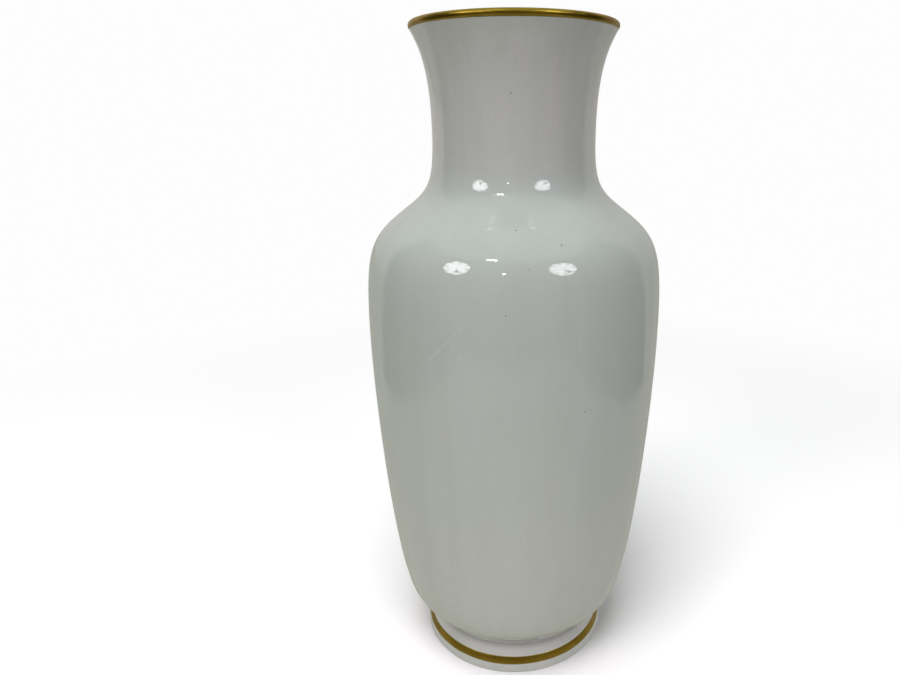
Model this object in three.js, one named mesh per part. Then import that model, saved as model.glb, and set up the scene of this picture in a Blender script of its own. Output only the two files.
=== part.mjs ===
// A tall white porcelain vase with gilt lines, standing on a foot ring that was made
// separately and stuck on with slip. Millimetres, +Z up. The origin is the centre of the
// circle that the vase stands on, so every piece is turned round the Z axis.

import * as THREE from "three";

// ---- Driving dimensions -------------------------------------------------------------

const HEIGHT = 310; // standing surface to the top of the lip
const SEGMENTS = 60; // facets round the axis

// Wall of the body, thinnest at the lip and thickening evenly towards the bottom
const LIP_WALL = 3.2;
const BOTTOM_WALL = 4.6;

// Lip: a half-round nose at the top of the flared neck
const LIP_RADIUS = 44.8; // axis to the middle of the nose
const LIP_LEAN = 33; // degrees that the neck leans outwards where the nose begins
const NOSE_RADIUS = LIP_WALL / 2;

// Gilt lines: thin rings let into the glaze, flush with it
const GILT_THICKNESS = 0.3;
const GILT_CLEARANCE = 0.1; // between a gilt ring and the floor of its seat
const RIM_GILT_DROP = 0.75; // how far the rim line runs down the wall, below the nose
const FOOT_GILT_BOTTOM = 4.65; // heights of the foot line's two edges
const FOOT_GILT_TOP = 8.3;

// Underside of the body: a flat bottom, with a cone round it that the foot ring is stuck to
const BOTTOM_HEIGHT = 13.2;
const BOTTOM_RADIUS = 37;
const JOINT_RADIUS = 41.5;
const JOINT_HEIGHT = 15.5;
const INSIDE_FLOOR_HEIGHT = 18.5;
const INSIDE_FLOOR_RADIUS = 34;

// Foot ring: flat bearing edge, rounded toe, swelling moulding, taper up to the joint
const TOE_RADIUS = 48.4;
const TOE_ROUNDING = 0.8;
const BEARING_INNER_RADIUS = 43.9; // the flat edge that the vase stands on starts here
const BEARING_ROUNDING = 0.9;
const MOULDING_RADIUS = 17.5; // radius of the moulding's swell
const TAPER_TOP = [43.3, 13.7]; // radius and height of the foot's top edge
const TAPER_WAIST = [44.6, 10.9]; // draws the taper slightly hollow
const FOOT_INNER_TOP = [38.2, 13.1]; // inner edge of the foot's top face

// Slip seam that fills the wedge between the underside cone and the foot's top face
const SEAM_CLEARANCE = 0.05; // above and below the seam
const SEAM_INNER_RADIUS = 38.4;
const SEAM_BULGE = [43.6, 14.4]; // the fillet where the slip was pressed out
const SEAM_SHOULDER = [43.1, 15.2];

// The body's outer wall: radius and height of each station, its outward lean in degrees,
// and how far its tangent is followed below and above it
const WALL_STATIONS = [
  { radius: JOINT_RADIUS, height: JOINT_HEIGHT, lean: 57, below: 0, above: 16.5 },
  { radius: 59, height: 37, lean: 14.5, below: 8, above: 27 }, // end of the round underside
  { radius: 70.8, height: 173, lean: 0, below: 36.5, above: 37.5 }, // widest
  { radius: 55, height: 227, lean: -52, below: 17, above: 16 }, // steepest on the shoulder
  { radius: 37.5, height: 260, lean: 0, below: 22, above: 11 }, // waist of the neck
  lipStation(16),
];

// ---- Outlines -----------------------------------------------------------------------

// The direction in which a wall with this lean climbs, in the plane of the outline.
function climb(lean) {
  const angle = THREE.MathUtils.degToRad(lean);
  return new THREE.Vector2(Math.sin(angle), Math.cos(angle));
}

// The turn from a climbing direction to the one that points into the wall.
function inwards(direction) {
  return new THREE.Vector2(-direction.y, direction.x);
}

// The last station of the outer wall: the lower edge of the rim line.
function lipStation(below) {
  const point = lipSide(NOSE_RADIUS, 1);
  return { radius: point.x, height: point.y, lean: LIP_LEAN, below, above: 0 };
}

// The foot of the lip on its outer side (side 1) or its inner side (side -1), for a nose
// of this radius.
function lipSide(noseRadius, side) {
  const up = climb(LIP_LEAN);
  return new THREE.Vector2(LIP_RADIUS, HEIGHT - NOSE_RADIUS)
    .addScaledVector(inwards(up), -side * noseRadius)
    .addScaledVector(up, -RIM_GILT_DROP);
}

// The lip from its outer foot, over the nose, to its inner foot.
function lipOutline(noseRadius) {
  const start = THREE.MathUtils.degToRad(-LIP_LEAN);
  const nose = new THREE.EllipseCurve(
    LIP_RADIUS,
    HEIGHT - NOSE_RADIUS,
    noseRadius,
    noseRadius,
    start,
    start + Math.PI,
  );
  return [lipSide(noseRadius, 1), ...nose.getPoints(8), lipSide(noseRadius, -1)];
}

// The outer wall as one cubic curve from each station to the next.
function wallCurves() {
  return WALL_STATIONS.slice(1).map((upper, index) => {
    const lower = WALL_STATIONS[index];
    const from = new THREE.Vector2(lower.radius, lower.height);
    const to = new THREE.Vector2(upper.radius, upper.height);
    return new THREE.CubicBezierCurve(
      from,
      from.clone().addScaledVector(climb(lower.lean), lower.above),
      to.clone().addScaledVector(climb(upper.lean), -upper.below),
      to,
    );
  });
}

function wallThickness(height) {
  return THREE.MathUtils.lerp(BOTTOM_WALL, LIP_WALL, height / HEIGHT);
}

// Points of the wall from the joint up to the lip, on its outer or its inner face.
function wallPoints(stepsPerCurve, onInside) {
  const points = [];
  wallCurves().forEach((curve, index) => {
    for (let step = index === 0 ? 0 : 1; step <= stepsPerCurve; step += 1) {
      const point = curve.getPoint(step / stepsPerCurve);
      const tangent = curve.getTangent(step / stepsPerCurve);
      const depth = onInside ? wallThickness(point.y) : 0;
      points.push(point.addScaledVector(inwards(tangent), depth));
    }
  });
  return points;
}

// A point on the underside cone at this radius, or straight below it by the drop.
function underCone(radius, drop) {
  const slope = (JOINT_HEIGHT - BOTTOM_HEIGHT) / (JOINT_RADIUS - BOTTOM_RADIUS);
  return new THREE.Vector2(radius, JOINT_HEIGHT - (JOINT_RADIUS - radius) * slope - drop);
}

// A point straight above the foot's top face at this radius.
function aboveFoot(radius, rise) {
  const [innerRadius, innerHeight] = FOOT_INNER_TOP;
  const [outerRadius, outerHeight] = TAPER_TOP;
  const share = (radius - innerRadius) / (outerRadius - innerRadius);
  return new THREE.Vector2(radius, innerHeight + share * (outerHeight - innerHeight) + rise);
}

// An arc of the foot's moulding between two heights, set in by the depth. The swell is
// upright at the standing surface.
function mouldingArc(fromHeight, toHeight, depth, steps) {
  const angleAt = (height) => Math.asin(height / MOULDING_RADIUS);
  const radius = MOULDING_RADIUS - depth;
  return new THREE.EllipseCurve(
    TOE_RADIUS - MOULDING_RADIUS,
    0,
    radius,
    radius,
    angleAt(fromHeight),
    angleAt(toHeight),
  ).getPoints(steps);
}

// ---- Pieces -------------------------------------------------------------------------

// Turns an outline of (radius, height) points round the Z axis.
function turned(name, outline, material) {
  const geometry = new THREE.LatheGeometry(outline, SEGMENTS);
  geometry.rotateX(Math.PI / 2);
  const mesh = new THREE.Mesh(geometry, material);
  mesh.name = name;
  return mesh;
}

// The same, for a ring whose outline closes on itself clear of the axis.
function turnedRing(name, outline, material) {
  return turned(name, [...outline, outline[0].clone()], material);
}

const porcelain = { color: 0xe9ebe7, roughness: 0.12, metalness: 0 };
const slip = { color: 0xdedfd9, roughness: 0.3, metalness: 0 };
const gilt = { color: 0x8f6c1e, roughness: 0.32, metalness: 1 };

// Slip-cast shell: belly, shoulder, neck and lip, open at the top.
function vaseBody() {
  const seatDepth = GILT_THICKNESS + GILT_CLEARANCE;
  const outline = [
    new THREE.Vector2(0, BOTTOM_HEIGHT),
    new THREE.Vector2(BOTTOM_RADIUS, BOTTOM_HEIGHT),
    ...wallPoints(6, false),
    ...lipOutline(NOSE_RADIUS - seatDepth),
    ...wallPoints(4, true).reverse(),
    new THREE.Vector2(INSIDE_FLOOR_RADIUS, INSIDE_FLOOR_HEIGHT),
    new THREE.Vector2(0, INSIDE_FLOOR_HEIGHT),
  ];
  return turned("vase_body", outline, new THREE.MeshStandardMaterial(porcelain));
}

// Ring of slip that sticks the foot ring to the underside cone and swells out of the joint.
function lutingSeam() {
  const outline = [
    aboveFoot(SEAM_INNER_RADIUS, SEAM_CLEARANCE),
    aboveFoot(TAPER_TOP[0], SEAM_CLEARANCE),
    new THREE.Vector2(...SEAM_BULGE),
    new THREE.Vector2(...SEAM_SHOULDER),
    underCone(JOINT_RADIUS, SEAM_CLEARANCE),
    underCone(SEAM_INNER_RADIUS, SEAM_CLEARANCE),
  ];
  return turnedRing("luting_seam", outline, new THREE.MeshStandardMaterial(slip));
}

// The foot: its outline runs from the outer edge of the bearing face up and back inside.
function footRing() {
  const seatDepth = GILT_THICKNESS + GILT_CLEARANCE;
  const toe = new THREE.EllipseCurve(
    TOE_RADIUS - TOE_ROUNDING,
    TOE_ROUNDING,
    TOE_ROUNDING,
    TOE_ROUNDING,
    -Math.PI / 2,
    0,
  );
  const taper = new THREE.QuadraticBezierCurve(
    mouldingArc(FOOT_GILT_TOP, FOOT_GILT_TOP, 0, 1)[0],
    new THREE.Vector2(...TAPER_WAIST),
    new THREE.Vector2(...TAPER_TOP),
  );
  const outline = [
    ...toe.getPoints(3),
    ...mouldingArc(TOE_ROUNDING, FOOT_GILT_BOTTOM, 0, 2).slice(1),
    ...mouldingArc(FOOT_GILT_BOTTOM, FOOT_GILT_TOP, seatDepth, 4),
    ...taper.getPoints(4),
    new THREE.Vector2(...FOOT_INNER_TOP),
    new THREE.Vector2(BEARING_INNER_RADIUS - BEARING_ROUNDING, BEARING_ROUNDING),
    new THREE.Vector2(BEARING_INNER_RADIUS, 0),
  ];
  return turnedRing("foot_ring", outline, new THREE.MeshStandardMaterial(porcelain));
}

// Gilding over the lip, from the outside of the neck to the inside.
function rimGoldBand() {
  const outline = [
    ...lipOutline(NOSE_RADIUS),
    ...lipOutline(NOSE_RADIUS - GILT_THICKNESS).reverse(),
  ];
  return turnedRing("rim_gold_band", outline, new THREE.MeshStandardMaterial(gilt));
}

// Gilding round the upper part of the foot's moulding.
function footGoldBand() {
  const outline = [
    ...mouldingArc(FOOT_GILT_BOTTOM, FOOT_GILT_TOP, 0, 4),
    ...mouldingArc(FOOT_GILT_BOTTOM, FOOT_GILT_TOP, GILT_THICKNESS, 4).reverse(),
  ];
  return turnedRing("foot_gold_band", outline, new THREE.MeshStandardMaterial(gilt));
}

const vase = new THREE.Group();
vase.add(vaseBody(), lutingSeam(), footRing(), rimGoldBand(), footGoldBand());

export default vase;
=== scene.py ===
"""The looks of a white porcelain vase with gilt lines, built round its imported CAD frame.

Metres, +Z up, with the origin at the centre of the circle that the vase stands on. Each
piece replaces the plain CAD solid of the same shape with a finely turned surface, and all
of them ride on the one body. The table, the umbrella lamps and the room that the glaze
mirrors belong to the stage and not to the vase.
"""

import math

import bpy
from mathutils import Matrix, Vector, noise


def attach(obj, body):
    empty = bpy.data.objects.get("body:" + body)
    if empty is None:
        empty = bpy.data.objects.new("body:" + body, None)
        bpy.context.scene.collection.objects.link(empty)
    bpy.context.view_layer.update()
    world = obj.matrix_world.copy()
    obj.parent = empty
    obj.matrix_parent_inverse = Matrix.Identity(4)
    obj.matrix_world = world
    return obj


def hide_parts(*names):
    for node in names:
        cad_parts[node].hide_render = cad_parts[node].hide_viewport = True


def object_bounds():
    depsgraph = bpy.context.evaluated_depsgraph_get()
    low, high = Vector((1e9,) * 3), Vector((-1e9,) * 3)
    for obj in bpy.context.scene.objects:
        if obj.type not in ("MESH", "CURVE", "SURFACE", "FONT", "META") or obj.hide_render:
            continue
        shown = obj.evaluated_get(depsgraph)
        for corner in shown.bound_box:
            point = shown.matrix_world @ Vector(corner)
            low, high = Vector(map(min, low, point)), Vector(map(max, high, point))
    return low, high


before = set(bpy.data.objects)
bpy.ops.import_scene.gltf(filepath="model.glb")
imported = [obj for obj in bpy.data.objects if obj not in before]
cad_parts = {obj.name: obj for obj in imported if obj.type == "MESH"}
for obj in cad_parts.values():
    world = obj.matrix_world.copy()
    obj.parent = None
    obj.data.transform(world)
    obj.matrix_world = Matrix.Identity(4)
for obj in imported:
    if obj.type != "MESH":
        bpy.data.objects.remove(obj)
cad_low, cad_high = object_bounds()
HEIGHT = cad_high.z - cad_low.z

# ---- Sizes of the vase, in millimetres --------------------------------------------------

MM = HEIGHT / 310  # one millimetre of a vase that is 310 mm tall
TOP = 310.0
TURNED_SEGMENTS = 320
WALL_STEPS = 34  # along each of the wall's curves

LIP_WALL = 3.2
BOTTOM_WALL = 4.6
LIP_RADIUS = 44.8
LIP_LEAN = 33.0
NOSE_RADIUS = LIP_WALL / 2

# Outer wall: radius, height, outward lean in degrees, tangent followed below and above
WALL_STATIONS = [
    (41.5, 15.5, 57.0, 0.0, 16.5),  # joint with the foot ring
    (59.0, 37.0, 14.5, 8.0, 27.0),  # end of the round underside
    (70.8, 173.0, 0.0, 36.5, 37.5),  # widest
    (55.0, 227.0, -52.0, 17.0, 16.0),  # steepest on the shoulder
    (37.5, 260.0, 0.0, 22.0, 11.0),  # waist of the neck
]
BOTTOM_RADIUS, BOTTOM_HEIGHT = 37.0, 13.2
INSIDE_FLOOR_RADIUS, INSIDE_FLOOR_HEIGHT = 34.0, 18.5

TOE_RADIUS, TOE_ROUNDING = 48.4, 0.8
BEARING_INNER_RADIUS, BEARING_ROUNDING = 43.9, 0.9
MOULDING_RADIUS = 17.5
TAPER_TOP = (43.3, 13.7)
TAPER_WAIST = (44.6, 10.9)
FOOT_INNER_TOP = (38.2, 13.1)

FILM = 0.03  # how far the gilding stands proud of the glaze
GILT_SUNK = 0.1  # how far its back lies under the glaze
RIM_GILT_DROP = 0.75  # how far the rim line runs down the wall, below the nose
FOOT_GILT_BOTTOM, FOOT_GILT_TOP = 4.65, 8.3
BRUSH_WANDER = 0.12  # how far a gilt line's edges stray

OUT_OF_ROUND = 0.12  # firing pulls the vase this far off a true circle
WAVINESS = 0.03  # and leaves waves this deep in its wall


# ---- Outlines: lists of (radius, height) in millimetres ----------------------------------

def climb(lean):
    """The direction in which a wall with this lean climbs."""
    angle = math.radians(lean)
    return Vector((math.sin(angle), math.cos(angle)))


def inwards(direction):
    return Vector((-direction.y, direction.x))


def cubic(start, control_a, control_b, end, steps):
    points = []
    for step in range(steps + 1):
        t = step / steps
        s = 1 - t
        points.append(s**3 * start + 3 * s * s * t * control_a
                      + 3 * s * t * t * control_b + t**3 * end)
    return points


def quadratic(start, control, end, steps):
    return cubic(start, start.lerp(control, 2 / 3), end.lerp(control, 2 / 3), end, steps)


def arc(centre, radius, start, end, steps):
    """Points round a centre; angles in degrees, from outwards towards up."""
    points = []
    for step in range(steps + 1):
        angle = math.radians(start + (end - start) * step / steps)
        points.append(Vector(centre) + radius * Vector((math.cos(angle), math.sin(angle))))
    return points


def smoothed(points, passes):
    """The line with its bends eased, as glaze leaves them; its two ends stay."""
    for _ in range(passes):
        middle = [p.lerp((a + b) / 2, 0.5) for a, p, b in zip(points, points[1:], points[2:])]
        points = [points[0], *middle, points[-1]]
    return points


def lip_line(radius, steps):
    """The lip from its outer foot, over the nose, to its inner foot."""
    nose = Vector((LIP_RADIUS, TOP - NOSE_RADIUS))
    up = climb(LIP_LEAN)
    side = radius * inwards(up)
    return [nose - side - RIM_GILT_DROP * up,
            *arc(nose, radius, -LIP_LEAN, 180 - LIP_LEAN, steps),
            nose + side - RIM_GILT_DROP * up]


def wall_line(steps):
    """The outer wall from the joint to the lip."""
    lip = lip_line(NOSE_RADIUS, 1)[0]
    stations = [*WALL_STATIONS, (lip.x, lip.y, LIP_LEAN, 16.0, 0.0)]
    points = []
    for lower, upper in zip(stations, stations[1:]):
        start, end = Vector(lower[:2]), Vector(upper[:2])
        curve = cubic(start, start + climb(lower[2]) * lower[4],
                      end - climb(upper[2]) * upper[3], end, steps)
        points += curve[1:] if points else curve
    return points


def inner_line(outer):
    """The inside of the wall: thinnest at the lip and thickening towards the bottom."""
    points = []
    for before, point, after in zip(outer, outer[1:], outer[2:]):
        thickness = BOTTOM_WALL + (LIP_WALL - BOTTOM_WALL) * point.y / TOP
        points.append(point + thickness * inwards((after - before).normalized()))
    return points


def body_outline():
    """The whole section of the body, from the middle of its underside to that of its floor."""
    underside = [Vector((0, BOTTOM_HEIGHT)), Vector((BOTTOM_RADIUS / 2, BOTTOM_HEIGHT)),
                 Vector((BOTTOM_RADIUS - 0.5, BOTTOM_HEIGHT)),
                 Vector((BOTTOM_RADIUS + 0.5, BOTTOM_HEIGHT + 0.3))]
    outer = smoothed(wall_line(WALL_STEPS), 12)
    lip = lip_line(NOSE_RADIUS, 14)
    inner = inner_line(outer)[::2]
    floor_edge = Vector((INSIDE_FLOOR_RADIUS, INSIDE_FLOOR_HEIGHT))
    inner_floor = quadratic(inner[0], floor_edge + Vector((4, 0)), floor_edge, 6)[1:]
    return [*underside, *outer, *lip[1:], *inner[::-1], *inner_floor,
            Vector((INSIDE_FLOOR_RADIUS / 2, INSIDE_FLOOR_HEIGHT)),
            Vector((0, INSIDE_FLOOR_HEIGHT))]


def moulding_radius(height, lift=0.0):
    """How far out the foot's moulding is at this height, or a film that thick on it."""
    reach = math.sqrt(MOULDING_RADIUS**2 - height**2)
    return TOE_RADIUS - MOULDING_RADIUS + reach * (1 + lift / MOULDING_RADIUS)


def moulding_line(low, high, lift, steps):
    heights = [low + (high - low) * step / steps for step in range(steps + 1)]
    return [Vector((moulding_radius(height, lift), height)) for height in heights]


def foot_outline():
    """The foot ring's section, from its bearing edge up the outside and down the inside."""
    toe = arc((TOE_RADIUS - TOE_ROUNDING, TOE_ROUNDING), TOE_ROUNDING, -90, 0, 8)
    swell = moulding_line(TOE_ROUNDING, FOOT_GILT_TOP, 0, 24)[1:]
    taper = quadratic(swell[-1], Vector(TAPER_WAIST), Vector(TAPER_TOP), 24)[1:]
    inner_foot = Vector((BEARING_INNER_RADIUS - BEARING_ROUNDING, BEARING_ROUNDING))
    inside = quadratic(Vector(FOOT_INNER_TOP), Vector((40.2, 6.0)), inner_foot, 14)
    heel = quadratic(inner_foot, Vector((BEARING_INNER_RADIUS - 0.4, 0)),
                     Vector((BEARING_INNER_RADIUS, 0)), 4)[1:]
    return [*smoothed([*toe, *swell, *taper], 3), Vector(TAPER_TOP) - Vector((0.5, -0.05)),
            *inside, *heel]


def seam_outline():
    """The slip: a fillet under the wall, rounded where it was wiped off with a sponge."""
    foot_edge = Vector(TAPER_TOP)
    under_wall = Vector((42.3, 15.95))
    fillet = cubic(foot_edge + Vector((-0.1, 0.02)), Vector((44.1, 14.0)),
                   Vector((43.8, 15.5)), under_wall, 12)
    return [Vector((38.6, 13.2)), *fillet, Vector((41.4, 15.4)), Vector((38.6, 14.0))]


# ---- Turning ------------------------------------------------------------------------------

def off_true(radius, height, angle):
    """How far firing moved a point of the wall outwards, in millimetres."""
    place = Vector((radius * math.cos(angle), radius * math.sin(angle), height))
    pull = OUT_OF_ROUND * math.cos(2 * angle - 1.1) * min(1.0, height / 60)
    return pull + WAVINESS * noise.noise(place / 22)


def turned(name, outline, closed, stray=None):
    """A smooth skin made by turning an outline round Z. stray(point, angle) moves a point."""
    verts, rings = [], []
    for point in outline:
        ring = []
        for k in range(1 if point.x == 0 else TURNED_SEGMENTS):
            angle = 2 * math.pi * k / TURNED_SEGMENTS
            place = stray(point, angle) if stray else point
            radius = place.x + (off_true(place.x, place.y, angle) if place.x else 0)
            ring.append(len(verts))
            verts.append((radius * math.cos(angle) * MM, radius * math.sin(angle) * MM,
                          place.y * MM))
        rings.append(ring)
    if closed:
        rings.append(rings[0])
    faces = []
    for lower, upper in zip(rings, rings[1:]):
        for k in range(TURNED_SEGMENTS):
            after = (k + 1) % TURNED_SEGMENTS
            corners = [lower[k % len(lower)], lower[after % len(lower)],
                       upper[after % len(upper)], upper[k % len(upper)]]
            faces.append(list(dict.fromkeys(corners)))
    mesh = bpy.data.meshes.new(name)
    mesh.from_pydata(verts, [], faces)
    mesh.shade_smooth()
    return linked(name, mesh)


def linked(name, data):
    made = bpy.data.objects.new(name, data)
    bpy.context.scene.collection.objects.link(made)
    return made


def vase_piece(name, outline, node, material, closed=True, stray=None):
    """One piece of the vase, in place of its CAD node."""
    piece = turned(name, outline, closed, stray)
    piece.data.materials.append(material)
    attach(piece, "root")
    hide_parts(node)
    return piece


def brush_stray(angle, edge):
    """How far the brush strayed at one edge of a gilt line, in millimetres."""
    place = Vector((math.cos(angle), math.sin(angle), edge))
    return BRUSH_WANDER * (noise.noise(place * 2.5) + 0.4 * noise.noise(place * 11))


def foot_line_stray(point, angle):
    """Moves the foot line's edges along the moulding, up or down."""
    middle = (FOOT_GILT_BOTTOM + FOOT_GILT_TOP) / 2
    share = (point.y - middle) / (FOOT_GILT_TOP - middle)
    height = point.y + abs(share) * brush_stray(angle, math.copysign(3, share))
    return Vector((point.x + moulding_radius(height) - moulding_radius(point.y), height))


def rim_line_stray(point, angle):
    """Moves the rim line's two edges along the wall."""
    up = climb(LIP_LEAN)
    nose = Vector((LIP_RADIUS, TOP - NOSE_RADIUS))
    below = min(1.0, max(0.0, -(point - nose).dot(up) / RIM_GILT_DROP))
    return point + up * below * brush_stray(angle, math.copysign(5, point.x - LIP_RADIUS))


def seam_stray(point, angle):
    """The sponge left the fillet fuller in some places than in others."""
    place = Vector((math.cos(angle), math.sin(angle), 0)) * 3
    fullness = max(0.0, point.x - 42.6)
    return point + Vector((fullness * 0.12 * noise.noise(place), 0))


# ---- Materials ----------------------------------------------------------------------------

class Graph:
    """The node tree of a material or a world, with short ways to add and join nodes."""

    def __init__(self, owner):
        owner.use_nodes = True
        self.tree = owner.node_tree
        self.tree.nodes.clear()

    def node(self, kind, values, **settings):
        made = self.tree.nodes.new("ShaderNode" + kind)
        for setting, value in settings.items():
            setattr(made, setting, value)
        for name, value in values.items():
            if isinstance(value, bpy.types.NodeSocket):
                self.tree.links.new(value, made.inputs[name])
            else:
                made.inputs[name].default_value = value
        return made

    def math(self, operation, *values):
        return self.node("Math", dict(enumerate(values)), operation=operation).outputs[0]

    def vector(self, operation, *values):
        made = self.node("VectorMath", dict(enumerate(values)), operation=operation)
        scalar = operation in ("LENGTH", "DISTANCE", "DOT_PRODUCT")
        return made.outputs["Value" if scalar else "Vector"]

    def fade(self, value, start, end, low=0.0, high=1.0):
        """low up to start, high from end on, and a smooth change between."""
        return self.node("MapRange", {"Value": value, "From Min": start, "From Max": end,
                                      "To Min": low, "To Max": high},
                         interpolation_type="SMOOTHSTEP").outputs[0]

    def noise(self, place, size, detail=2.0):
        """Noise whose lumps are about this many metres across."""
        return self.node("TexNoise", {"Vector": place, "Scale": 1 / size,
                                      "Detail": detail}).outputs[0]

    def ramp(self, value, stops):
        """A grey that runs between stops of (position from 0 to 1, brightness)."""
        made = self.node("ValToRGB", {0: value})
        elements = made.color_ramp.elements
        while len(elements) > 1:
            elements.remove(elements[-1])
        elements[0].position = stops[0][0]
        for position, _ in stops[1:]:
            elements.new(position)
        for element, (_, brightness) in zip(elements, stops):
            element.color = (brightness, brightness, brightness, 1)
        return made.outputs[0]

    def mix(self, share, first, second):
        """A colour, first where share is 0 and second where it is 1."""
        made = self.node("Mix", {0: share, 6: first, 7: second}, data_type="RGBA")
        return made.outputs[2]

    def blend(self, share, first, second):
        """A shader, first where share is 0 and second where it is 1."""
        return self.node("MixShader", {0: share, 1: first, 2: second}).outputs[0]

    def bump(self, height, depth, under=None):
        """A normal that shows a height of 0 to 1 as that many metres."""
        values = {"Height": height, "Distance": depth, "Strength": 1.0}
        if under:
            values["Normal"] = under
        return self.node("Bump", values).outputs[0]

    def output(self, kind, shader):
        self.node("Output" + kind, {0: shader})


def material(name):
    made = bpy.data.materials.new(name)
    return made, Graph(made)


def object_place(graph):
    return graph.node("TexCoord", {}).outputs["Object"]


def wall_radius(height):
    """The outer wall's radius at this height, both in millimetres."""
    line = wall_line(12)
    for lower, upper in zip(line, line[1:]):
        if lower.y <= height <= upper.y:
            return lower.lerp(upper, (height - lower.y) / (upper.y - lower.y)).x
    return line[-1].x


def on_wall(azimuth, height):
    """A place on the outer wall, in metres; azimuth in degrees from the front."""
    angle = math.radians(azimuth)
    radius = wall_radius(height) * MM
    return Vector((radius * math.sin(angle), -radius * math.cos(angle), height * MM))


# Iron specks that show at the front: azimuth, height and radius
SPECKS = [(1.0, 227.3, 0.30), (18.3, 222.0, 0.38), (21.1, 219.7, 0.22), (-1.9, 279.8, 0.25),
          (25.2, 152.1, 0.30), (27.5, 152.4, 0.24), (-2.6, 196.0, 0.26), (-64.0, 178.0, 0.25)]
# Scuffs in the glaze: azimuth and height of both ends, and width
SCUFFS = [((-31.0, 173.0), (-16.5, 191.0), 0.8), ((-22.0, 184.0), (-17.0, 175.5), 0.7),
          ((-28.5, 188.0), (-26.5, 182.0), 0.5), ((28.9, 167.7), (32.6, 162.2), 0.6),
          ((22.0, 186.0), (23.0, 179.0), 0.4)]


def specks(graph, place):
    """1 in the middle of each dark speck, 0 elsewhere."""
    cells = graph.node("TexVoronoi", {"Vector": place, "Scale": 45.0}).outputs["Distance"]
    found = graph.fade(cells, 0.008, 0.014, 1.0, 0.0)
    for azimuth, height, radius in SPECKS:
        gap = graph.vector("DISTANCE", place, on_wall(azimuth, height))
        found = graph.math("MAXIMUM", found,
                           graph.fade(gap, radius * 0.5 * MM, radius * 1.6 * MM, 1.0, 0.0))
    return found


def scuffs(graph, place):
    """1 along each scuff, 0 elsewhere."""
    found = 0.0
    for first, last, width in SCUFFS:
        start, end = on_wall(*first), on_wall(*last)
        along, outward = (end - start).normalized(), Vector((start.x, start.y, 0)).normalized()
        offset = graph.vector("SUBTRACT", place, start)
        side = graph.math("ABSOLUTE", graph.vector("DOT_PRODUCT", offset,
                                                   along.cross(outward).normalized()))
        travel = graph.vector("DOT_PRODUCT", offset, along)
        length, fade_in = (end - start).length, 2 * MM
        mark = graph.math("MULTIPLY", graph.fade(side, 0.0, width * MM, 1.0, 0.0),
                          graph.fade(travel, 0.0, fade_in))
        mark = graph.math("MULTIPLY", mark,
                          graph.fade(travel, length - fade_in, length, 1.0, 0.0))
        near = graph.vector("DOT_PRODUCT", offset, outward)
        mark = graph.math("MULTIPLY", mark, graph.fade(near, -20 * MM, -10 * MM))
        found = graph.math("MAXIMUM", found, mark)
    return found


GLAZE_COOL = (0.759, 0.808, 0.764, 1)  # where it is thick, round the middle of the vase
GLAZE_WARM = (0.820, 0.806, 0.790, 1)
GLAZE_DUSTY = (0.735, 0.745, 0.700, 1)
SCUFF_COLOUR = (0.90, 0.90, 0.87, 1)
IRON = (0.10, 0.07, 0.05, 1)
# Dark colour of the painted shade round the joint, and of the slip's darkening and the grime
# in its pits
SHADE_AND_GRIME = (0.22, 0.21, 0.19, 1)
BISCUIT_PALE = (0.74, 0.72, 0.67, 1)
BISCUIT_WORN = (0.58, 0.55, 0.49, 1)
GLAZE_IOR = 1.5
GLAZE_ROUGHNESS = 0.012
WIPED_ROUGHNESS = 0.02  # added where a cloth left streaks
SCUFFED_ROUGHNESS = 0.25  # added along a scuff
BISCUIT_ROUGHNESS = 0.75
JOINT_HEIGHT = WALL_STATIONS[0][1]
# Sizes of the marks in the glaze, in metres
CLOUD_SIZE = 0.05
WIPE_SIZE = 0.012
RUN_SIZE = 0.004
DUST_SIZE = 0.0016
SWELL_SIZE, SWELL_DEPTH = 0.02, 0.00001
RIPPLE_SIZE, RIPPLE_DEPTH = 0.0022, 0.0000003
BISCUIT_GRAIN, BISCUIT_DEPTH = 0.0006, 0.00005


def band(graph, height, low, high):
    """1 between two pairs of heights in millimetres, 0 below the first and above the last."""
    return graph.math("MULTIPLY", graph.fade(height, low[0] * MM, low[1] * MM),
                      graph.fade(height, high[0] * MM, high[1] * MM, 1.0, 0.0))


def glaze_colour(graph, place, height, wipes):
    """The glaze, cooler in clouds round the middle, under wiped and settled dust."""
    clouds = graph.fade(graph.noise(place, CLOUD_SIZE), 0.3, 0.7, 0.5, 1.0)
    middle = band(graph, height, (60, 135), (236, 256))
    colour = graph.mix(graph.math("MULTIPLY", middle, clouds), GLAZE_WARM, GLAZE_COOL)
    colour = graph.mix(graph.math("MULTIPLY", wipes, 0.45), colour, GLAZE_DUSTY)
    dust = graph.fade(graph.noise(place, DUST_SIZE, 3.0), 0.35, 0.70)
    drawn_out = graph.vector("MULTIPLY", place, Vector((1, 1, 0.05)))
    runs = graph.fade(graph.noise(drawn_out, RUN_SIZE), 0.4, 0.7)
    runs = graph.math("MULTIPLY", runs, graph.fade(height, 225 * MM, 265 * MM))
    dusty = graph.math("MULTIPLY", graph.math("ADD", dust, runs), 0.3)
    return graph.mix(dusty, colour, GLAZE_DUSTY)


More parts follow.
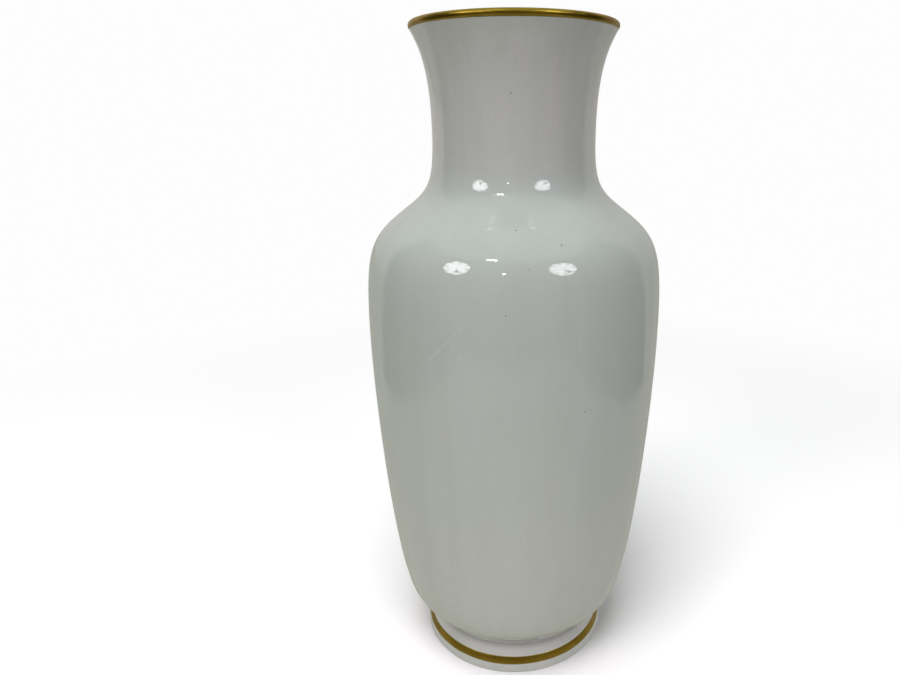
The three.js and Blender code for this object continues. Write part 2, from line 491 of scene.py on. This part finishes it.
def porcelain(name, bare_below=None, handled=False):
    """White porcelain under clear glaze. It is bare biscuit below a height, in
    millimetres; a handled surface carries the specks and scuffs that show in use."""
    made, graph = material(name)
    place = object_place(graph)
    height = graph.node("SeparateXYZ", {0: place}).outputs["Z"]
    upright = graph.vector("MULTIPLY", place, Vector((1, 1, 0.15)))
    wipes = graph.fade(graph.noise(upright, WIPE_SIZE, 4.0), 0.35, 0.7)
    colour = glaze_colour(graph, place, height, wipes)
    roughness = graph.math("ADD", GLAZE_ROUGHNESS,
                           graph.math("MULTIPLY", wipes, WIPED_ROUGHNESS))
    if handled:
        rubbed = graph.math("MULTIPLY", scuffs(graph, place),
                            graph.fade(graph.noise(place, 0.002), 0.3, 0.6))
        colour = graph.mix(graph.math("MULTIPLY", rubbed, 0.6), colour, SCUFF_COLOUR)
        roughness = graph.math("ADD", roughness,
                               graph.math("MULTIPLY", rubbed, SCUFFED_ROUGHNESS))
        colour = graph.mix(graph.math("MULTIPLY", specks(graph, place), 0.85), colour, IRON)
    # Painted shade: the glaze darkens in a band of height round the joint with the foot, where
    # the wall overhangs the foot. It is darkest from 1 mm below the joint up to it, and fades
    # out 5 mm below and 1.5 mm above.
    joint_darkening = band(graph, height, (JOINT_HEIGHT - 5, JOINT_HEIGHT - 1),
                 (JOINT_HEIGHT, JOINT_HEIGHT + 1.5))
    colour = graph.mix(graph.math("MULTIPLY", joint_darkening, 0.6), colour, SHADE_AND_GRIME)
    normal = graph.bump(graph.noise(place, SWELL_SIZE, 0.0), SWELL_DEPTH)
    normal = graph.bump(graph.noise(place, RIPPLE_SIZE, 1.0), RIPPLE_DEPTH, normal)
    if bare_below is not None:
        grain = graph.noise(place, BISCUIT_GRAIN, 3.0)
        uneven = graph.math("MULTIPLY", graph.noise(place, 0.004), 0.0003)
        bare = graph.fade(graph.math("ADD", height, uneven), (bare_below + 0.1) * MM,
                          (bare_below + 0.25) * MM, 1.0, 0.0)
        colour = graph.mix(bare, colour, graph.mix(grain, BISCUIT_PALE, BISCUIT_WORN))
        roughness = graph.math("MAXIMUM", roughness,
                               graph.math("MULTIPLY", bare, BISCUIT_ROUGHNESS))
        normal = graph.bump(graph.math("MULTIPLY", grain, bare), BISCUIT_DEPTH, normal)
    principled = graph.node("BsdfPrincipled", {"Base Color": colour, "Roughness": roughness,
                                               "Normal": normal, "IOR": GLAZE_IOR})
    graph.output("Material", principled.outputs[0])
    return made


SLIP_ROUGHNESS = 0.24
PITTED_ROUGHNESS = 0.3  # added in its pits
PIT_SIZE = 0.006
LUMP_SIZE, LUMP_DEPTH = 0.0025, 0.000008


def slip():
    """The sponged slip of the seam: glazed thinly, a quarter of the way to the dark colour all
    over and darker still with grime in its pits.
    """
    made, graph = material("slip")
    place = object_place(graph)
    pits = graph.fade(graph.noise(place, PIT_SIZE, 4.0), 0.52, 0.75)
    joint_darkening = graph.math("ADD", 0.25, graph.math("MULTIPLY", pits, 0.2))
    colour = graph.mix(joint_darkening, GLAZE_WARM, SHADE_AND_GRIME)
    roughness = graph.math("ADD", SLIP_ROUGHNESS,
                           graph.math("MULTIPLY", pits, PITTED_ROUGHNESS))
    lumps = graph.bump(graph.noise(place, LUMP_SIZE, 3.0), LUMP_DEPTH)
    principled = graph.node("BsdfPrincipled", {"Base Color": colour, "Roughness": roughness,
                                               "Normal": lumps, "IOR": GLAZE_IOR})
    graph.output("Material", principled.outputs[0])
    return made


GOLD_BRIGHT = (0.42, 0.27, 0.030, 1)
GOLD_DULL = (0.33, 0.20, 0.018, 1)
GOLD_THIN = (0.36, 0.29, 0.07, 1)
GOLD_BARE = (0.52, 0.46, 0.32, 1)
GOLD_METALLIC = 0.85
GOLD_ROUGHNESS = 0.24
BLOTCH_SIZE = 0.010
STROKE_SIZE, STROKE_DEPTH = 0.003, 0.000004
WORN_SIZE = 0.0016
GRAIN_SIZE, GRAIN_DEPTH = 0.0007, 0.0000015
RAGGED = 0.0004  # how far the grain frays the edges


def gilding(name, edge_gap):
    """Burnished gold, brushed on in one turn. edge_gap(graph, place) gives each point's
    distance from the line's edges, where the gold is thin."""
    made, graph = material(name)
    place = object_place(graph)
    blotches = graph.fade(graph.noise(place, BLOTCH_SIZE, 3.0), 0.3, 0.7)
    grain = graph.noise(place, GRAIN_SIZE, 3.0)
    level = graph.vector("MULTIPLY", place, Vector((1, 1, 12)))
    strokes = graph.noise(level, STROKE_SIZE, 3.0)
    ragged = graph.math("MULTIPLY", graph.math("SUBTRACT", grain, 0.5), RAGGED)
    gap = graph.math("ADD", edge_gap(graph, place), ragged)
    thin = graph.fade(gap, 0.05 * MM, 0.45 * MM, 1.0, 0.0)
    worn = graph.fade(graph.noise(place, WORN_SIZE, 4.0), 0.74, 0.80)
    colour = graph.mix(blotches, GOLD_BRIGHT, GOLD_DULL)
    colour = graph.mix(graph.math("MULTIPLY", thin, 0.8), colour, GOLD_THIN)
    colour = graph.mix(worn, colour, GOLD_BARE)
    lost = graph.math("MAXIMUM", graph.math("MULTIPLY", thin, 0.35),
                      graph.math("MULTIPLY", worn, 0.8))
    metal = graph.math("SUBTRACT", GOLD_METALLIC, lost)
    roughness = graph.math("ADD", GOLD_ROUGHNESS, graph.math("MULTIPLY", blotches, 0.10))
    roughness = graph.math("ADD", roughness, graph.math("MULTIPLY", strokes, 0.12))
    normal = graph.bump(strokes, STROKE_DEPTH)
    normal = graph.bump(grain, GRAIN_DEPTH, normal)
    principled = graph.node("BsdfPrincipled", {"Base Color": colour, "Metallic": metal,
                                               "Roughness": roughness, "Normal": normal})
    graph.output("Material", principled.outputs[0])
    return made


def foot_edge_gap(graph, place):
    height = graph.node("SeparateXYZ", {0: place}).outputs["Z"]
    middle = (FOOT_GILT_BOTTOM + FOOT_GILT_TOP) / 2 * MM
    half = (FOOT_GILT_TOP - FOOT_GILT_BOTTOM) / 2 * MM
    away = graph.math("ABSOLUTE", graph.math("SUBTRACT", height, middle))
    return graph.math("SUBTRACT", half, away)


def rim_edge_gap(graph, place):
    """Both edges of the rim line lie the same way below the nose, along the wall."""
    split = graph.node("SeparateXYZ", {0: place}).outputs
    radius = graph.vector("LENGTH", graph.node("CombineXYZ", {0: split["X"],
                                                              1: split["Y"]}).outputs[0])
    up = climb(LIP_LEAN)
    edge = Vector((LIP_RADIUS, TOP - NOSE_RADIUS)) - RIM_GILT_DROP * up
    climbed = graph.math("ADD", graph.math("MULTIPLY", radius, up.x),
                         graph.math("MULTIPLY", split["Z"], up.y))
    return graph.math("SUBTRACT", climbed, edge.dot(up) * MM)


# ---- The vase -----------------------------------------------------------------------------

vase_piece("vase_body_glazed", body_outline(), "vase_body",
           porcelain("body_porcelain", handled=True), closed=False)
vase_piece("foot_ring_glazed", foot_outline(), "foot_ring",
           porcelain("foot_porcelain", bare_below=0.0))
vase_piece("luting_seam_slip", seam_outline(), "luting_seam", slip(),
           stray=seam_stray)
vase_piece("rim_gilding",
           lip_line(NOSE_RADIUS + FILM, 20) + lip_line(NOSE_RADIUS - GILT_SUNK, 20)[::-1],
           "rim_gold_band", gilding("rim_gilt", rim_edge_gap),
           stray=rim_line_stray)
vase_piece("foot_gilding",
           moulding_line(FOOT_GILT_BOTTOM, FOOT_GILT_TOP, FILM, 14)
           + moulding_line(FOOT_GILT_BOTTOM, FOOT_GILT_TOP, -GILT_SUNK, 14)[::-1],
           "foot_gold_band", gilding("foot_gilt", foot_edge_gap),
           stray=foot_line_stray)


# ---- Stage --------------------------------------------------------------------------------

LAMP_DISTANCE = 2.0
LAMP_RADIUS = 0.35  # of an umbrella, as the glaze shows it
LAMP_SPREAD = 0.78  # across an umbrella, as it lights the vase
AIM = Vector((0, 0, 0.7 * HEIGHT))


def towards(azimuth, elevation):
    """The direction with this azimuth, from the front towards +X, and elevation."""
    a, e = math.radians(azimuth), math.radians(elevation)
    return Vector((math.sin(a) * math.cos(e), -math.cos(a) * math.cos(e), math.sin(e)))


def facing(thing, azimuth, elevation):
    """Hangs a thing at the lamps' distance, its -Z towards the vase and its Y up."""
    thing.location = AIM + towards(azimuth, elevation) * LAMP_DISTANCE
    thing.rotation_euler = (-towards(azimuth, elevation)).to_track_quat("-Z", "Y").to_euler()


def umbrella_glow(strength, stem):
    """The inside of a lit umbrella: eight gores between its ribs, and the dark lamp stem,
    at this angle in degrees, in front of it."""
    made, graph = material("umbrella")
    place = object_place(graph)
    split = graph.node("SeparateXYZ", {0: place}).outputs
    angle = graph.math("ARCTAN2", split["Y"], split["X"])
    radius = graph.vector("LENGTH", place)
    across = graph.math("SINE", graph.math("MULTIPLY", angle, 4.0))
    ribs = graph.fade(graph.math("ABSOLUTE", across), 0.0, 0.45, 0.25, 1.0)
    patches = graph.math("ADD", 0.75, graph.math("MULTIPLY", graph.noise(place, 0.25), 0.5))
    fall = graph.fade(radius, 0.4 * LAMP_RADIUS, LAMP_RADIUS, 1.0, 0.7)
    off_stem = graph.math("ABSOLUTE", graph.math("SUBTRACT", angle, math.radians(stem)))
    beyond_stem = graph.fade(radius, 0.7 * LAMP_RADIUS, 0.8 * LAMP_RADIUS)
    shade = graph.math("MAXIMUM", graph.fade(off_stem, 0.10, 0.30, 0.05, 1.0), beyond_stem)
    light = strength
    for part in (ribs, fall, shade, patches):
        light = graph.math("MULTIPLY", light, part)
    glow = graph.node("Emission", {"Color": (0.97, 1.0, 1.0, 1), "Strength": light})
    graph.output("Material", glow.outputs[0])
    return made


def plain_glow(strength):
    made, graph = material("glow")
    glow = graph.node("Emission", {"Color": (1.0, 1.0, 0.97, 1), "Strength": strength})
    graph.output("Material", glow.outputs[0])
    return made


def mirrored_only(name, corners, glow, azimuth, elevation):
    """A flat light that only shows as a reflection in the glaze and the gold."""
    mesh = bpy.data.meshes.new(name)
    mesh.from_pydata([(*corner, 0) for corner in corners], [], [range(len(corners))])
    panel = linked(name, mesh)
    panel.data.materials.append(glow)
    facing(panel, azimuth, elevation)
    panel.visible_camera = False
    panel.visible_diffuse = False
    panel.visible_shadow = False


def disk_lamp(name, azimuth, elevation, width, watts):
    """A soft round light that the glaze doesn't mirror."""
    light = bpy.data.lights.new(name, "AREA")
    light.shape = "DISK"
    light.size = width
    light.energy = watts
    lamp = linked(name, light)
    facing(lamp, azimuth, elevation)
    lamp.visible_glossy = False
    return lamp


def umbrella(name, azimuth, elevation, watts, colour, glow, stem):
    """An umbrella lamp: soft light on the vase, and the umbrella's own reflection."""
    rim = arc((0, 0), LAMP_RADIUS, 0, 360, 96)[:-1]
    mirrored_only(name + "_umbrella", rim, umbrella_glow(glow, stem), azimuth, elevation)
    disk_lamp(name, azimuth, elevation, LAMP_SPREAD, watts).data.color = colour


def small_lamp(name, azimuth, elevation, half_width, half_height, glow, overhead=False):
    """A small rectangular lamp. One overhead has its sides along the room's walls."""
    turn = Matrix.Rotation(math.radians(-azimuth if overhead else 0), 2)
    corners = [turn @ Vector((x * half_width, y * half_height))
               for x, y in ((-1, -1), (1, -1), (1, 1), (-1, 1))]
    mirrored_only(name, corners, plain_glow(glow), azimuth, elevation)


# How bright the room is at each azimuth, from behind the vase round by its left
ROOM = [(-180, 0.52), (-160, 0.56), (-128, 0.60), (-114, 0.66), (-112, 0.0), (112, 0.0),
        (114, 0.47), (160, 0.46), (180, 0.52)]
ROOM_TINT = (1.07, 1.0, 0.96)
CEILING = (0.62, 0.82, 0.71, 1)
CEILING_STARTS, CEILING_FULL = 44, 54  # degrees up
TABLE_FRONT = -0.48  # where the table top ends towards the camera
TABLE_SIDE = 0.41  # and to either side, in front of the vase
SWEEP_SPREAD = 0.42  # how fast the paper behind the vase narrows towards it
TABLE_TOP = (0.67, 0.67, 0.58, 1)
TABLE_GLOW = 0.61  # how bright the table top looks in the glaze
DARK_FLOOR = (0.03, 0.03, 0.03, 1)
PAPER_WHITE = (0.985, 0.985, 0.985, 1)
PAPER_SHOWN = (0.648, 0.622, 0.641, 1)
PAPER_WATTS = 58.0
PAPER_FADES_FROM, PAPER_FADES_TO = 0.3, 0.7  # away from the vase, into plain white
SHEET_REACH = 8.0


def room():
    """White behind the vase for the camera; the glaze sees a dim room, with white paper
    behind the vase and a pale ceiling."""
    world = bpy.data.worlds.new("room")
    bpy.context.scene.world = world
    graph = Graph(world)
    direction = graph.node("TexCoord", {}).outputs["Generated"]
    split = graph.node("SeparateXYZ", {0: direction}).outputs
    azimuth = graph.math("ARCTAN2", split["X"], graph.math("MULTIPLY", split["Y"], -1.0))
    around = graph.math("ADD", graph.math("DIVIDE", azimuth, math.tau), 0.5)
    walls = graph.ramp(around, [((angle + 180) / 360, light) for angle, light in ROOM])
    ceiling = graph.fade(split["Z"], math.sin(math.radians(CEILING_STARTS)),
                         math.sin(math.radians(CEILING_FULL)))
    walls = graph.vector("MULTIPLY", walls, ROOM_TINT)
    seen = graph.node("Background", {"Color": graph.mix(ceiling, walls, CEILING)})
    paper = graph.node("Background", {"Color": PAPER_WHITE, "Strength": 1.0})
    to_camera = graph.node("LightPath", {}).outputs["Is Camera Ray"]
    graph.output("World", graph.blend(to_camera, seen.outputs[0], paper.outputs[0]))


def flat_sheet(name):
    mesh = bpy.data.meshes.new(name)
    corners = [(x * SHEET_REACH, y * SHEET_REACH, 0)
               for x, y in ((-1, -1), (1, -1), (1, 1), (-1, 1))]
    mesh.from_pydata(corners, [], [(0, 1, 2, 3)])
    sheet = linked(name, mesh)
    return sheet


def table():
    """What the vase stands on, as its glaze sees it and as light falls back from it: a
    white table on a dark floor, with a paper sweep behind."""
    sheet = flat_sheet("table")
    sheet.visible_camera = False
    made, graph = material("table")
    place = object_place(graph)
    split = graph.node("SeparateXYZ", {0: place}).outputs
    clutter = graph.math("MULTIPLY", graph.noise(place, 0.10, 4.0), 0.10)
    front = graph.fade(graph.math("ADD", split["Y"], clutter), TABLE_FRONT, TABLE_FRONT + 0.02)
    sideways = graph.math("ADD", graph.math("ABSOLUTE", split["X"]), clutter)
    within = graph.fade(sideways, TABLE_SIDE, TABLE_SIDE + 0.02, 1.0, 0.0)
    behind = graph.math("SUBTRACT", split["Y"],
                        graph.math("MULTIPLY", SWEEP_SPREAD, sideways))
    on_table = graph.math("MULTIPLY", front, graph.math("MAXIMUM", within,
                                                        graph.fade(behind, 0.0, 0.02)))
    lit = graph.node("BsdfDiffuse", {"Color": graph.mix(on_table, DARK_FLOOR, TABLE_TOP)})
    mirrored = graph.node("Emission", {"Color": TABLE_TOP, "Strength":
                                       graph.math("MULTIPLY", on_table, TABLE_GLOW)})
    mirror = graph.node("LightPath", {}).outputs["Is Glossy Ray"]
    graph.output("Material", graph.blend(mirror, lit.outputs[0], mirrored.outputs[0]))
    sheet.data.materials.append(made)


def shown_paper():
    """The white paper that only the camera sees, with a lamp of its own that lights nothing
    else, so that the vase's shadow falls on it without changing the light on the vase."""
    sheet = flat_sheet("shown_paper")
    sheet.location.z = 0.2 * MM  # clear of the table, whose place it takes
    for seen_by in ("diffuse", "glossy", "transmission", "volume_scatter", "shadow"):
        setattr(sheet, "visible_" + seen_by, False)
    made, graph = material("shown_paper")
    place = object_place(graph)
    lit = graph.node("BsdfDiffuse", {"Color": PAPER_SHOWN})
    far = graph.node("Emission", {"Color": PAPER_WHITE, "Strength": 1.0})
    away = graph.fade(graph.vector("LENGTH", place), PAPER_FADES_FROM, PAPER_FADES_TO)
    graph.output("Material", graph.blend(away, lit.outputs[0], far.outputs[0]))
    sheet.data.materials.append(made)
    paper_only = bpy.data.collections.new("paper_only")
    paper_only.objects.link(sheet)
    lamp = disk_lamp("paper_lamp", -20, 70, 1.2, PAPER_WATTS)
    lamp.light_linking.receiver_collection = paper_only


# Azimuth and elevation, then watts, colour, glow and stem for an umbrella, or half the
# width, half the height and glow for a small lamp
umbrella("left_lamp", -47.5, 31, 11.8, (1.04, 0.99, 1.03), 13.0, -70)
umbrella("right_lamp", 41, 31, 9.3, (1.06, 0.97, 1.08), 11.5, -60)
small_lamp("ceiling_panel", -22, 51, 0.12, 0.06, 30.0)
small_lamp("left_downlight", -113.7, 77.4, 0.07, 0.012, 3.5, overhead=True)
small_lamp("right_downlight", 117.6, 79.1, 0.07, 0.012, 3.5, overhead=True)
small_lamp("spot", -7.5, 28, 0.04, 0.04, 30.0)
room()
table()
shown_paper()

# ---- Camera -------------------------------------------------------------------------------

CAMERA_DISTANCE = 1.0515 * HEIGHT  # level, in front of the vase's axis
CAMERA_HEIGHT = 0.8673 * HEIGHT
LOOKING_DOWN = 17.71  # degrees

camera = linked("camera", bpy.data.cameras.new("camera"))
camera.location = (0, -CAMERA_DISTANCE, CAMERA_HEIGHT)
camera.rotation_euler = (math.radians(90 - LOOKING_DOWN), 0, 0)
camera.data.lens = 27.04
camera.data.sensor_width = 36
camera.data.shift_x = -0.07106  # the vase stands right of the picture's middle
camera.data.clip_start = 0.01
bpy.context.scene.camera = camera
bpy.context.scene.view_settings.view_transform = "Standard"
